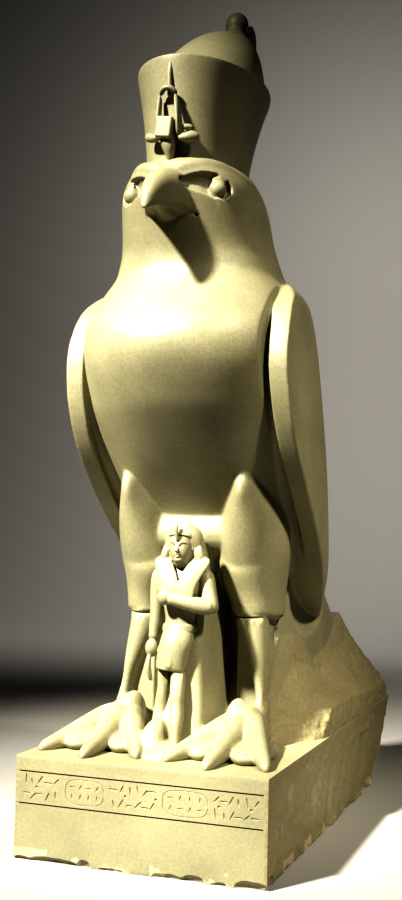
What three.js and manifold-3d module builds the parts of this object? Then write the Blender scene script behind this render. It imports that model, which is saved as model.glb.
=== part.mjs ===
// Carved stone statue of a standing falcon with a tall double crown, guarding a small royal
// figure between its legs, all in one block with a rectangular plinth.
// Millimetres, +Z up, the falcon faces -Y, its left side is +X.
import * as THREE from "three";
import { mergeVertices } from "three/addons/utils/BufferGeometryUtils.js";
import Module from "manifold-3d";

const wasm = await Module();
wasm.setup();

// Overall sizes
const statueHeight = 720;
const plinthWidth = 198.6;
const plinthLength = 444.5;
const plinthHeight = 77;
const beakOverhang = 17.5;

// Plinth details
const rearRun = 89;
const bandTop = 65.5;
const bandBottom = 41.7;
const carvingDepth = 0.9;
const strokeWidth = 1.5;
const chipDepth = 4;

// Bird details, at the size the bird is drawn
const wingThickness = 16;
const wingStep = 10;
const tailHalfWidth = 60;
const eyeRadius = 7;
const browRadius = 4;
const knobRadius = 10.5;
const spireWidth = 15;
const toeRadius = 9;

// Little figure: height, and where it stands on the drawn plinth
const figureHeight = 178;
const figureX = 3;
const figureY = -145;
const pillarTop = 13.4;

// The bird is drawn on a plinth 72.5 high whose front is at -212.5, with its crown reaching 720
const drawnPlinth = 72.5;
const drawnFront = -212.5;
const drawnBird = 647.5;
const birdScale = (statueHeight - plinthHeight) / drawnBird;
const plinthFront = beakOverhang - (plinthLength + beakOverhang) / 2;
const plinthBack = (plinthLength + beakOverhang) / 2;

function toSolid(geometry) {
  const bare = geometry.clone();
  bare.deleteAttribute("normal");
  bare.deleteAttribute("uv");
  const merged = mergeVertices(bare, 1e-4);
  return new wasm.Manifold(
    new wasm.Mesh({
      numProp: 3,
      vertProperties: new Float32Array(merged.attributes.position.array),
      triVerts: new Uint32Array(merged.index.array),
    }),
  );
}

function joined(solids) {
  return solids.reduce((all, one) => all.add(one));
}

function bothSides(solid) {
  return solid.add(solid.mirror([1, 0, 0]));
}

// Closed skin over rings of equal count, each ring turning anticlockwise about the way it goes
function skin(rings) {
  const around = rings[0].length;
  const points = rings.flat();
  const faces = [];
  for (let i = 0; i < rings.length - 1; i++) {
    for (let j = 0; j < around; j++) {
      const k = (j + 1) % around;
      const a = i * around + j;
      const b = i * around + k;
      const c = (i + 1) * around + k;
      const d = (i + 1) * around + j;
      faces.push(a, b, c, a, c, d);
    }
  }
  for (const end of [0, rings.length - 1]) {
    const middle = new THREE.Vector3();
    rings[end].forEach((p) => middle.addScaledVector(p, 1 / around));
    points.push(middle);
    for (let j = 0; j < around; j++) {
      const a = end * around + j;
      const b = end * around + ((j + 1) % around);
      if (end === 0) faces.push(points.length - 1, b, a);
      else faces.push(points.length - 1, a, b);
    }
  }
  const geometry = new THREE.BufferGeometry().setFromPoints(points);
  geometry.setIndex(faces);
  return toSolid(geometry);
}

// Smooth row between the rows of a table, t from 0 to 1
function blend(rows, t) {
  const last = rows.length - 1;
  const i = Math.min(Math.floor(t * last), last - 1);
  const f = t * last - i;
  const row = (n) => rows[Math.min(Math.max(n, 0), last)];
  return rows[i].map((p1, k) => {
    const p0 = row(i - 1)[k];
    const p2 = row(i + 1)[k];
    const p3 = row(i + 2)[k];
    const v0 = (p2 - p0) / 2;
    const v1 = (p3 - p1) / 2;
    const cubic = 2 * p1 - 2 * p2 + v0 + v1;
    const square = 3 * p2 - 3 * p1 - 2 * v0 - v1;
    return cubic * f ** 3 + square * f ** 2 + v0 * f + p1;
  });
}

function power(value, exponent) {
  return Math.sign(value) * Math.abs(value) ** exponent;
}

// Level slice: height, half width, front, middle and back in y, squareness in front and behind
function slice([z, half, front, middle, back, squareFront, squareBack], around) {
  return Array.from({ length: around }, (_, j) => {
    const angle = (2 * Math.PI * j) / around;
    const ahead = Math.sin(angle) < 0;
    const exponent = 2 / (ahead ? squareFront : squareBack);
    const x = half * power(Math.cos(angle), exponent);
    const reach = ahead ? middle - front : back - middle;
    const y = middle + reach * power(Math.sin(angle), exponent);
    return new THREE.Vector3(x, y, z);
  });
}

function tower(rows, around, fine) {
  const count = (rows.length - 1) * fine;
  return skin(Array.from({ length: count + 1 }, (_, i) => slice(blend(rows, i / count), around)));
}

// Tapering limb along rows of x, y, z, radius across, radius the other way
function limb(rows, around, fine, side = new THREE.Vector3(1, 0, 0)) {
  const count = (rows.length - 1) * fine;
  const at = (i) => blend(rows, Math.min(Math.max(i / count, 0), 1));
  const rings = [];
  for (let i = 0; i <= count; i++) {
    const [x, y, z, wide, deep] = at(i);
    const [x0, y0, z0] = at(i - 0.5);
    const [x1, y1, z1] = at(i + 0.5);
    const along = new THREE.Vector3(x1 - x0, y1 - y0, z1 - z0).normalize();
    const across = side.clone().addScaledVector(along, -side.dot(along)).normalize();
    const up = new THREE.Vector3().crossVectors(along, across);
    rings.push(
      Array.from({ length: around }, (_, j) => {
        const angle = (2 * Math.PI * j) / around;
        return new THREE.Vector3(x, y, z)
          .addScaledVector(across, wide * Math.cos(angle))
          .addScaledVector(up, deep * Math.sin(angle));
      }),
    );
  }
  return skin(rings);
}

function ball(x, y, z, rx, ry, rz, around = 20) {
  const geometry = new THREE.SphereGeometry(1, around, Math.round(around / 2));
  geometry.rotateX(Math.PI / 2);
  geometry.scale(rx, ry, rz);
  geometry.translate(x, y, z);
  return toSolid(geometry);
}

function block(x0, x1, y0, y1, z0, z1) {
  const geometry = new THREE.BoxGeometry(x1 - x0, y1 - y0, z1 - z0);
  geometry.translate((x0 + x1) / 2, (y0 + y1) / 2, (z0 + z1) / 2);
  return toSolid(geometry);
}

// Solid whose outline in y and z runs through the points, between two values of x
function sideProfile(points, x0, x1) {
  const outline = new THREE.Shape(points.map(([y, z]) => new THREE.Vector2(y, z)));
  const geometry = new THREE.ExtrudeGeometry(outline, { depth: x1 - x0, bevelEnabled: false });
  geometry.applyMatrix4(new THREE.Matrix4().set(0, 0, 1, x0, 1, 0, 0, 0, 0, 1, 0, 0, 0, 0, 0, 1));
  return toSolid(geometry);
}

function curve(points, count) {
  const path = new THREE.SplineCurve(points.map(([a, b]) => new THREE.Vector2(a, b)));
  return path.getPoints(count).map((p) => [p.x, p.y]);
}

function plinth() {
  const profile = [
    [plinthFront, 0],
    [plinthBack - rearRun, 0],
    [plinthBack - rearRun * 0.4, plinthHeight * 0.45],
    [plinthBack - rearRun * 0.1, plinthHeight * 0.78],
    [plinthBack, plinthHeight],
    [plinthFront, plinthHeight],
  ];
  return sideProfile(profile, -plinthWidth / 2, plinthWidth / 2);
}

// Shallow breaks along the lower front edge and the lower side edge
function chips() {
  const places = [
    [-0.31, 46, 0.8],
    [-0.47, 16, 0.6],
    [0.2, 34, 0.7],
    [0.43, 26, 1],
  ];
  const cuts = places.map(([share, length, strength]) =>
    ball(share * plinthWidth, plinthFront, 0, length / 2, chipDepth * strength, 5 * strength, 8),
  );
  const corner = ball(plinthWidth / 2, plinthFront, 0, chipDepth * 2, 24, 9, 8);
  const sides = [180, 260, 330].map((y) => ball(plinthWidth / 2, plinthFront + y, 0, chipDepth, 18, 9, 8));
  return joined([...cuts, corner, ...sides]);
}

// Band of ruled lines, ovals and strokes on the plinth front; the strokes are no letters
function inscription() {
  const reach = plinthWidth / 2;
  const face = plinthFront;
  const middle = (bandTop + bandBottom) / 2;
  const tall = (bandTop - bandBottom) * 0.62;
  const long = reach * 0.94;
  const half = strokeWidth / 2;
  const cuts = [bandTop, bandBottom].map((z) =>
    block(-long, long, face - 1, face + carvingDepth, z - half, z + half),
  );
  for (const share of [-0.475, 0.35]) {
    const rim = (grow) => {
      const wide = reach * 0.17 + grow;
      const high = tall * 0.62 + grow;
      return sideOval(share * reach, middle, wide, high, face - 1, face + carvingDepth);
    };
    cuts.push(rim(half).subtract(rim(-half)));
  }
  const count = 17;
  for (let i = 0; i < count; i++) {
    const x = reach * (-0.88 + (1.76 * i) / (count - 1));
    const lean = 0.5 * Math.sin(i * 2.3);
    const length = tall * (0.36 + 0.16 * Math.cos(i * 1.7));
    const stroke = new THREE.BoxGeometry(strokeWidth, carvingDepth + 1, length);
    stroke.rotateY(lean);
    stroke.translate(x, face + (carvingDepth - 1) / 2, middle + tall * 0.1 * Math.cos(i * 3.1));
    cuts.push(toSolid(stroke));
  }
  return joined(cuts);
}

function sideOval(x, z, halfWidth, halfHeight, y0, y1) {
  const geometry = new THREE.CylinderGeometry(1, 1, y1 - y0, 20);
  geometry.scale(halfWidth, 1, halfHeight);
  geometry.translate(x, (y0 + y1) / 2, z);
  return toSolid(geometry);
}

// Neck, chest, belly and back in one smooth form
function body() {
  const rows = [
    [205, 60, -64, 10, 128, 3, 2.4],
    [232, 68, -94, 0, 112, 2.8, 2.4],
    [258, 72, -111, -30, 98, 2.8, 2.2],
    [282, 73.5, -131, -48, 84, 3.2, 2],
    [308, 75, -155, -60, 70, 3.4, 2],
    [335, 76, -178.5, -68, 55, 3.6, 2],
    [350, 76.5, -190, -71, 47, 3.8, 2],
    [370, 76.8, -201, -75, 37, 3.8, 2],
    [390, 76.6, -206, -80, 27, 3.8, 2],
    [408, 75.6, -200, -83, 16, 3.7, 2],
    [424, 74.8, -188, -86, 6, 3.4, 2],
    [438, 72.2, -178, -89, -4, 2.8, 2],
    [452, 68.2, -172, -93, -16, 2.4, 2],
    [470, 64.2, -173, -99, -26, 2.2, 2],
    [485, 61.7, -178.5, -107, -37, 2.1, 2],
    [500, 60.2, -183.5, -112, -45, 2.1, 2],
    [516, 56.5, -187, -117, -48, 2.2, 2],
    [529, 50, -184, -118, -50, 2.2, 2],
    [538, 42, -177, -115, -54, 2.2, 2],
  ];
  return tower(rows, 24, 1);
}

// Where the wing stands clear of the body, seen from the side
function wingOutline(inset) {
  const edge = [
    [-96, 452],
    [-124, 436],
    [-145, 419],
    [-160, 389],
    [-158, 356],
    [-139, 318],
    [-101, 279],
    [-57, 242],
    [-8, 204],
    [58, 173],
    [118, 156],
  ];
  const front = curve(edge, 24).map(([y, z]) => {
    const share = THREE.MathUtils.clamp(Math.min((z - 215) / 45, (420 - z) / 20), 0, 1);
    return [y + (inset > 0 ? share * (inset + 1) - 1 : 0), z];
  });
  return [...front, [300, 158], [300, 452]];
}

function wings() {
  const rows = [
    [146, 58, -190, 40, 158, 3, 2.4],
    [176, 74, -200, 0, 144, 3, 2.2],
    [204, 87, -215, -30, 133, 3.2, 2],
    [232, 93, -230, -52, 119, 3.4, 2],
    [264, 95, -240, -60, 102, 3.6, 2],
    [300, 96, -240, -66, 82, 3.8, 2],
    [340, 96, -240, -76, 60, 4, 2],
    [380, 95, -240, -84, 38, 4, 2],
    [408, 93.5, -240, -90, 20, 4, 2],
    [426, 91, -235, -93, 8, 3.6, 2],
    [437, 87, -230, -95, -2, 3.2, 2],
    [446, 79, -215, -95, -12, 2.6, 2],
    [453, 66, -200, -95, -20, 2.4, 2],
  ];
  const inner = rows.map(([z, half, front, middle, back, ...square]) => [
    z - 1,
    half - wingThickness,
    front - 5,
    middle,
    back - wingThickness,
    ...square,
  ]);
  const reach = plinthWidth;
  const stepped = tower(inner, 18, 1).subtract(sideProfile(wingOutline(wingStep), -reach, reach));
  const whole = tower(rows, 26, 1).intersect(sideProfile(wingOutline(0), -reach, reach));
  return whole.subtract(stepped);
}

// Wall of stone left standing between the legs, running back into the tail
function webAndTail() {
  const rows = [
    [40, tailHalfWidth, -64, 80, 230, 8, 5],
    [100, tailHalfWidth, -64, 80, 233, 8, 5],
    [124, tailHalfWidth, -64, 74, 226, 8, 5],
    [146, tailHalfWidth, -64, 62, 200, 8, 5],
    [165, tailHalfWidth, -64, 50, 174, 8, 5],
    [184, tailHalfWidth - 0.5, -64, 40, 151, 8, 4.4],
    [204, tailHalfWidth - 4, -68, 30, 138, 8, 3.4],
    [226, 50, -103, 10, 115, 6, 2.6],
    [250, 48, -113, 0, 94, 6, 2.4],
    [290, 40, -90, -10, 50, 4, 2],
  ];
  const panel = [
    [-94, 40],
    [-94, 174],
    [-60, 172],
    [-38, 167],
    [2, 161],
    [30, 148],
    [110, 112],
    [170, 40],
  ];
  const between = block(-36, 36, -150, -64, 40, 200);
  const underWing = bothSides(ball(64, 45, 188, 12, 70, 42, 10));
  const tail = tower(rows, 20, 1).subtract(underWing);
  return tail.add(sideProfile(panel, -59, 59).subtract(between));
}

// Small half-round opening behind the top of each shank
function notches() {
  return bothSides(ball(62, -58, 158, 8, 8, 8, 8));
}

// Rough stone that slopes from the wall and the tail out to the plinth edges
function skirt() {
  const rows = [
    [-122, 57, 76, 62, 74, 66, 73, 70, 71],
    [-98, 57, 100, 63, 92, 71, 82, 77, 71],
    [-78, 58, 130, 64, 108, 78, 91, 87, 71],
    [-60, 59, 146, 65, 118, 82, 98, 96, 73],
    [-46, 59.5, 154, 66, 126, 84, 102, 99.6, 92],
    [-10, 59.5, 160, 67, 130, 84, 103, 99.6, 97],
    [20, 59.5, 152, 67, 126, 84, 101, 99.6, 96],
    [60, 58, 130, 67, 114, 84, 99, 99.6, 94.5],
    [110, 58, 136, 68, 122, 82, 106, 99.6, 91],
    [180, 58, 162, 66, 147, 84, 116, 99.6, 88],
    [212, 55, 133, 68, 127, 87, 108, 99.6, 88],
    [231, 50, 110, 78, 107, 90, 96, 99.6, 84],
  ];
  const half = rows.map(([y, ...xz]) => {
    const ring = [new THREE.Vector3(0, y, 30)];
    ring.push(new THREE.Vector3(0, y, xz[1]));
    for (let i = 0; i < xz.length; i += 2) ring.push(new THREE.Vector3(xz[i], y, xz[i + 1]));
    ring.push(new THREE.Vector3(xz[xz.length - 2], y, 50));
    ring.push(new THREE.Vector3(xz[xz.length - 2] - 30, y, 30));
    return ring;
  });
  return bothSides(skin(half));
}

function leg() {
  const thigh = [
    [49.5, -134, 291, 4, 11],
    [48.5, -121, 284, 10, 21],
    [47, -105, 271, 19, 31],
    [45.4, -88, 251, 26, 40],
    [43.6, -74, 229, 28.7, 43.7],
    [43.8, -70, 206, 26.2, 41],
    [46, -70, 190, 22.6, 35.4],
    [47.4, -70.6, 175, 19.6, 31.4],
  ];
  const shank = [
    [46, -85, 186, 13.6, 18],
    [46.5, -86, 172, 13.6, 17.4],
    [50, -88, 157, 11.2, 16],
    [53.6, -90, 142, 9, 14.4],
    [58.4, -94, 118, 5.2, 11.6],
    [60, -99, 98, 6.4, 12],
    [58, -106, 66, 12, 18],
  ];
  return joined([limb(thigh, 14, 1), limb(shank, 10, 1)]);
}

function foot() {
  const ankle = ball(51, -113, 90, 14.5, 21, 19, 12).add(ball(45.5, -116, 93.5, 10, 16, 19, 8));
  const tips = [
    [92, -192],
    [49, -206],
    [11, -190],
  ];
  const toes = tips.map(([x, y]) => {
    const mix = (t) => [52 + (x - 52) * t, -108 + (y + 108) * t];
    const rows = [
      [...mix(0), 93, toeRadius * 1.2, toeRadius * 1.65],
      [...mix(0.28), 88, toeRadius * 1.05, toeRadius * 1.45],
      [...mix(0.55), 82, toeRadius * 0.9, toeRadius * 1.15],
      [...mix(0.85), 76.8, toeRadius * 0.62, toeRadius * 0.7],
      [...mix(1), 72, toeRadius * 0.16, toeRadius * 0.2],
    ];
    return limb(rows, 8, 1);
  });
  return joined([ankle, ...toes]);
}

function beak() {
  const rows = [
    [0, -162, 505, 27, 17],
    [0, -176, 509.5, 21.5, 18.2],
    [0, -187, 510.8, 15.5, 17],
    [0, -196, 508.4, 11.4, 14.4],
    [0, -206, 502.8, 7.8, 10.4],
    [0, -216, 497, 4.8, 7],
    [0, -224, 491.8, 2.6, 4],
    [0, -228.78, 486.4, 1, 1.8],
  ];
  return limb(rows, 14, 1);
}

function brow() {
  const rows = [
    [1, -184, 525, browRadius, browRadius],
    [11, -181.5, 526.5, browRadius * 1.2, browRadius * 1.5],
    [24, -172, 529, browRadius * 1.4, browRadius * 1.9],
    [36, -156, 528.5, browRadius * 1.5, browRadius * 1.9],
    [46, -137, 523.5, browRadius * 1.4, browRadius * 1.6],
    [53, -116, 513, browRadius * 0.9, browRadius],
  ];
  return limb(rows, 8, 1);
}

function eye() {
  return ball(36.2, -165.4, 512.2, eyeRadius, eyeRadius, eyeRadius, 12);
}

// Hollow under the brow, running from the beak out past the eye
function socket() {
  const rows = [
    [6, -188.5, 513.6, 1.6, 2],
    [20.5, -182, 516.4, 5.6, 6],
    [36, -170, 515.4, 9.2, 8],
    [44.6, -158, 511.6, 3.4, 3.4],
  ];
  return limb(rows, 10, 2, new THREE.Vector3(0, 0, 1));
}

// Flaring red crown, the bulb that rises out of it, its knob, and the tall spire behind
function crown() {
  const cup = [
    [524, 38, -172, -112, -52, 2, 2],
    [545, 39.5, -174, -112, -50, 2, 2],
    [575, 43.5, -176, -107, -40, 2, 2],
    [600, 48.5, -179, -102, -28, 2, 2],
    [617, 52, -181, -99, -18, 2, 2],
    [620, 51.5, -180.5, -99, -18.5, 2, 2],
  ];
  const bulb = [
    [612, 47, -166, -94, -24, 2, 2],
    [635, 42, -142, -80, -18, 2, 2],
    [656, 35, -116, -64, -14, 2, 2],
    [675, 25.5, -86, -46, -10, 2, 2],
    [689, 16, -56, -32, -8, 2, 2],
    [698, 10, -35, -23, -9, 2, 2],
    [707, 9, -28, -19, -9, 2, 2],
  ];
  const spire = [
    [-24, 600],
    [-60, 600],
    [-40, 640],
    [-14, 690],
    [-8, 708],
    [2, 716],
    [13, 714],
    [18, 704],
    [14, 680],
    [-6, 630],
  ];
  const knobMiddle = drawnPlinth + drawnBird - knobRadius * 1.1;
  const knob = ball(0, -19, knobMiddle, knobRadius, knobRadius, knobRadius * 1.1, 12);
  const blade = sideProfile(spire, -spireWidth / 2, spireWidth / 2);
  const rearWall = tower(
    [
      [600, 24, -60, -40, -26, 2.4, 2.4],
      [628, 18, -50, -30, -16, 2.4, 2.4],
      [656, 11, -38, -20, -4, 2.4, 2.4],
    ],
    16,
    1,
  );
  return joined([tower(cup, 26, 1), tower(bulb, 18, 1), knob, blade, rearWall]);
}

// Rearing cobra on the crown front: tail line, hood, stump of the broken head and side coils
function uraeus() {
  const tail = limb(
    [
      [0, -178, 616, 1.8, 2],
      [-1, -179, 600, 1.8, 2],
      [0, -179, 582, 2, 2.4],
    ],
    8,
    1,
  );
  const hood = limb(
    [
      [-1, -178, 590, 2, 3],
      [-2, -180, 584, 6, 6],
      [-1, -181, 572, 8, 7],
      [0, -181, 558, 8.5, 7],
      [1, -179, 544, 5, 6],
      [-1, -177, 530, 1.2, 2],
    ],
    12,
    1,
  );
  const coil = limb(
    [
      [4, -182, 551, 5, 4],
      [11, -180, 553, 3.6, 3.6],
      [17.5, -177, 552, 4.6, 4.2],
      [20, -175, 551, 2.5, 2.5],
    ],
    8,
    1,
    new THREE.Vector3(0, 0, 1),
  );
  const stump = block(-7, 7, -190, -172, 549, 565);
  return joined([tail, hood, stump, bothSides(coil)]);
}

// Small standing king in kilt and headcloth, one arm bent over the chest, against a pillar
function king() {
  const s = figureHeight / 180;
  const ground = drawnPlinth;
  const up = (z) => ground + z * s;
  const row = (x, y, z, a, b) => [figureX + x * s, figureY + y * s, up(z), a * s, b * s];
  const part = (rows, around, side) => limb(rows.map((r) => row(...r)), around, 1, side);
  const lump = (x, y, z, rx, ry, rz, around) =>
    ball(figureX + x * s, figureY + y * s, up(z), rx * s, ry * s, rz * s, around);
  const trunk = part(
    [
      [0, 5, 92, 13, 9.5],
      [0, 5, 102, 12, 8.5],
      [0, 5, 114, 14.5, 10],
      [0, 5, 128, 19.5, 11.5],
      [0, 7, 139, 20.5, 9.5],
      [0, 8, 146, 12, 7.5],
      [0, 8, 154, 8, 7.5],
    ],
    12,
  );
  const kilt = part(
    [
      [-4.6, 0, 64, 12.6, 11.6],
      [-3.6, 0.4, 74, 13, 12],
      [-0.8, 2.4, 88, 13.4, 11.4],
      [0, 5, 97, 12.4, 9.4],
    ],
    12,
  );
  const turn = 2.4;
  const face = lump(turn, -1.5, 161, 9, 10.5, 12.5, 10);
  const nose = lump(turn, -12, 159.5, 1.8, 2.2, 3.2, 8);
  const cloth = lump(turn, 5, 164, 16.6, 12.5, 16, 12);
  const lappet = (side) =>
    part(
      [
        [turn + 11 * side, 4, 168, 4, 7],
        [turn + 14 * side, 3.4, 157, 5, 7],
        [turn + 15.4 * side, 0, 149, 6.6, 4.6],
        [turn + 11 * side, -5, 141, 9, 3.8],
        [turn + 7.4 * side, -8.2, 131.5, 7.6, 3.4],
        [turn + 6 * side, -9.2, 121.5, 3.8, 2],
      ],
      8,
    );
  const serpent = part(
    [
      [turn, -6, 177, 1.6, 1.6],
      [turn, -10, 172, 2, 2],
      [turn, -9, 165, 1.4, 1.4],
    ],
    6,
  );
  const hanging = part(
    [
      [-15, 8, 143, 4, 5],
      [-19, 8, 137, 6.8, 7.2],
      [-20.2, 7, 122, 6.2, 6.8],
      [-20.6, 5, 106, 5.2, 6],
      [-21, 1, 89, 4.2, 4.8],
      [-21.4, -1.4, 78, 5, 6],
    ],
    8,
  );
  const upperArm = part(
    [
      [15.5, 8, 143, 4, 5],
      [20, 7.4, 137, 7, 7.4],
      [24, 4.6, 125, 6.8, 7.4],
      [28, 0, 111, 5.6, 6.2],
    ],
    8,
  );
  const foreArm = part(
    [
      [28.6, -1, 114.6, 5.4, 5.4],
      [17, -6.6, 116, 6.2, 6.2],
      [4, -10.6, 119.4, 5.4, 5.4],
      [-8.4, -11.8, 122, 6, 5.8],
    ],
    8,
    new THREE.Vector3(0, 1, 0),
  );
  const legRight = part(
    [
      [-11.6, 4, 68, 5.8, 8],
      [-11.6, 4, 46, 5.2, 7],
      [-11.6, 6, 26, 5, 7],
      [-11.2, 5, 4, 4, 5.4],
    ],
    8,
  );
  const legLeft = part(
    [
      [2, 1, 68, 6.2, 8],
      [3.8, -7, 46, 5.6, 7],
      [5.4, -12, 26, 5.4, 7],
      [7.2, -19, 4, 4, 5.4],
    ],
    8,
  );
  const soleRight = lump(-11, -4, 1.5, 5.4, 14, 6, 10);
  const soleLeft = lump(7.4, -27, 1.5, 5.4, 14, 6, 10);
  const sword = part(
    [
      [-21.4, -2.4, 82, 2, 2],
      [-21.4, -7, 65, 2, 3.4],
      [-20.2, -4, 55, 1.4, 1.6],
    ],
    6,
  );
  const standing = (rows, around, x) =>
    tower(rows, around, 1).translate([figureX + x, 0, 0]);
  const pillar = standing(
    [
      [58, 24, -158, -110, -40, 6, 8],
      [110, 22, -144, -100, -40, 6, 8],
      [147, 19, -139, -95, -40, 6, 8],
      [181, 16.4, -137, -95, -40, 6, 8],
      [217, pillarTop, -136, -95, -40, 5, 8],
      [235, pillarTop * 0.8, -132, -90, -40, 4, 8],
      [250, pillarTop * 0.3, -118, -80, -45, 3, 4],
    ],
    16,
    0,
  );
  const filler = standing(
    [
      [60, 19, -190, -162, -120, 3, 4],
      [76, 17, -185, -160, -122, 3, 4],
      [82, 7, -170, -152, -130, 2, 2],
    ],
    12,
    -1,
  );
  const fillerHigh = standing(
    [
      [62, 12, -180, -158, -125, 2.6, 4],
      [86, 10, -172, -152, -125, 2.6, 4],
      [98, 5, -160, -147, -130, 2, 2],
    ],
    10,
    -13,
  );
  return joined([
    trunk,
    kilt,
    face,
    nose,
    cloth,
    serpent,
    lappet(1),
    lappet(-1),
    hanging,
    upperArm,
    foreArm,
    legRight,
    legLeft,
    soleRight,
    soleLeft,
    sword,
    pillar,
    filler,
    fillerHigh,
  ]);
}

function bird() {
  const drawn = joined([
    body().subtract(bothSides(socket())),
    wings(),
    webAndTail().subtract(notches()),
    skirt().subtract(notches()),
    bothSides(leg()),
    bothSides(foot()),
    bothSides(brow()),
    bothSides(eye()),
    beak(),
    crown(),
    uraeus(),
    king(),
  ]);
  const keep = drawn.intersect(block(-400, 400, -400, 400, 40, 900));
  return keep
    .translate([0, -drawnFront, -drawnPlinth])
    .scale([birdScale, birdScale, birdScale])
    .translate([0, plinthFront, plinthHeight]);
}

function statue() {
  const ground = block(-500, 500, -500, 500, 0, 1000);
  const base = plinth().subtract(chips()).subtract(inscription());
  const whole = base.add(bird()).intersect(ground).simplify(0.36);
  const box = whole.boundingBox();
  const middle = [0, 1].map((axis) => (box.min[axis] + box.max[axis]) / 2);
  return whole.translate([-middle[0], -middle[1], -box.min[2]]);
}

function toMesh(solid, name, material) {
  const made = solid.getMesh();
  const stride = made.numProp;
  const positions = new Float32Array(made.numVert * 3);
  for (let i = 0; i < made.numVert; i++) {
    positions.set(made.vertProperties.subarray(i * stride, i * stride + 3), i * 3);
  }
  const geometry = new THREE.BufferGeometry();
  geometry.setAttribute("position", new THREE.BufferAttribute(positions, 3));
  geometry.setIndex(new THREE.BufferAttribute(made.triVerts, 1));
  geometry.computeVertexNormals();
  const mesh = new THREE.Mesh(geometry, material);
  mesh.name = name;
  return mesh;
}

const stone = new THREE.MeshStandardMaterial({ color: 0x8b8a6c, roughness: 0.45, metalness: 0 });

const part = new THREE.Group();
part.name = "falcon_figure";
part.add(toMesh(statue(), "falcon_statue", stone));

export default part;
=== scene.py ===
import math

import bmesh
import bpy
from mathutils import Matrix, Vector


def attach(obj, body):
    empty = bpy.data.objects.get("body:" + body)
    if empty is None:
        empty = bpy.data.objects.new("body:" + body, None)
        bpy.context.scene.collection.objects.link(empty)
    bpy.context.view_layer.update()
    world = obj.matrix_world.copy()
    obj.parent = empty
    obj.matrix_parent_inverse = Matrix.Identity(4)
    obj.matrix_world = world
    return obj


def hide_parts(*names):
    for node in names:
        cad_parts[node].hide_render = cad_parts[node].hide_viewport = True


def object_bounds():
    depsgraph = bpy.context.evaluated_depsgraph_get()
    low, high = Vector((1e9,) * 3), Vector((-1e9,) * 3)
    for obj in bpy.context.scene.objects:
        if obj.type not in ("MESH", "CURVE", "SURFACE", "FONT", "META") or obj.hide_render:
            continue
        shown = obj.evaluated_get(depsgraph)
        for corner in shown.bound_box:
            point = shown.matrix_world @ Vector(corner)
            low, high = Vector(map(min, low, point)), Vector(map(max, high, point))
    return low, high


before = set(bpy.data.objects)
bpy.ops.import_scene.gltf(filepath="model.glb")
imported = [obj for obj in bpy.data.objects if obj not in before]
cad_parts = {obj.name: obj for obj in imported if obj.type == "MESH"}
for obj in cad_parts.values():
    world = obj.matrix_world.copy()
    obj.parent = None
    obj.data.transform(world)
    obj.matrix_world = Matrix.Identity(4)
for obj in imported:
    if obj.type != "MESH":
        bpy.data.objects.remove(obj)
cadLow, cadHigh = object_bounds()
print("frame loaded")

# everything below is drawn in millimetres, about a point a little behind the frame's origin
drawing = {"height": 725.04, "lift": 5.04, "middleY": 2.5, "plinthTop": 72.5}
unit = (cadHigh.z - cadLow.z) / drawing["height"]


def place(x, y, z):
    return Vector((x, y - drawing["middleY"], z + drawing["lift"])) * unit


def deselected():
    if bpy.context.object and bpy.context.object.mode != "OBJECT":
        bpy.ops.object.mode_set(mode="OBJECT")
    bpy.ops.object.select_all(action="DESELECT")


def pick(*pieces):
    deselected()
    for piece in pieces:
        piece.select_set(True)
    bpy.context.view_layer.objects.active = pieces[0]


def edit(piece):
    pick(piece)
    bpy.ops.object.mode_set(mode="EDIT")
    bpy.ops.mesh.select_all(action="DESELECT")
    return bmesh.from_edit_mesh(piece.data)


def applied(piece, kind, **settings):
    pick(piece)
    modifier = piece.modifiers.new(kind.lower(), kind)
    for name, value in settings.items():
        setattr(modifier, name, value)
    bpy.ops.object.modifier_apply(modifier=modifier.name)
    return piece


def smoothed(piece, levels=2):
    return applied(piece, "SUBSURF", levels=levels, render_levels=levels)


def combined(piece, other, operation):
    applied(piece, "BOOLEAN", object=other, operation=operation, solver="MANIFOLD")
    bpy.data.objects.remove(other)
    return piece


def joinedAs(name, pieces):
    pick(*pieces)
    bpy.ops.object.join()
    piece = bpy.context.object
    piece.name = name
    return piece


# its place, turn and size go into its mesh
def settled():
    bpy.ops.object.transform_apply(location=True, rotation=True, scale=True)
    return bpy.context.object


def facedOut(piece):
    bpy.ops.mesh.select_all(action="SELECT")
    bpy.ops.mesh.normals_make_consistent(inside=False)
    pick(piece)
    return piece


def mirroredCopy(piece, middleX=0):
    pick(piece)
    bpy.ops.object.duplicate()
    bpy.ops.transform.mirror(constraint_axis=(True, False, False), center_override=(middleX * unit, 0, 0))
    copy = settled()
    edit(copy)
    return facedOut(copy)


def onBothSides(piece, other, operation, middleX=0):
    combined(piece, mirroredCopy(other, middleX), operation)
    return combined(piece, other, operation)


# a ring is a circle whose vertices are pulled one by one to their places
def addRing(piece, points):
    bpy.ops.mesh.select_all(action="DESELECT")
    bpy.ops.mesh.primitive_circle_add(vertices=len(points), radius=unit, location=points[0])
    mesh = bmesh.from_edit_mesh(piece.data)
    mesh.verts.ensure_lookup_table()
    ring = list(mesh.verts)[-len(points):]
    for vert in ring:
        vert.select = False
    for vert, point in zip(ring, points):
        vert.select = True
        bpy.ops.transform.translate(value=point - vert.co)
        vert.select = False


def selectRings(piece, around, chosen):
    mesh = bmesh.from_edit_mesh(piece.data)
    bpy.ops.mesh.select_all(action="DESELECT")
    for edge in mesh.edges:
        first, second = (vert.index // around for vert in edge.verts)
        if first == second and first in chosen:
            edge.select = True
    mesh.select_flush_mode()
    bmesh.update_edit_mesh(piece.data)


# a new mesh with nothing in it yet, open in edit mode
def emptied(name):
    deselected()
    bpy.ops.mesh.primitive_circle_add(vertices=3, radius=unit)
    piece = bpy.context.object
    piece.name = name
    edit(piece)
    bpy.ops.mesh.select_all(action="SELECT")
    bpy.ops.mesh.delete(type="VERT")
    bpy.ops.mesh.select_mode(type="VERT")
    return piece


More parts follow.
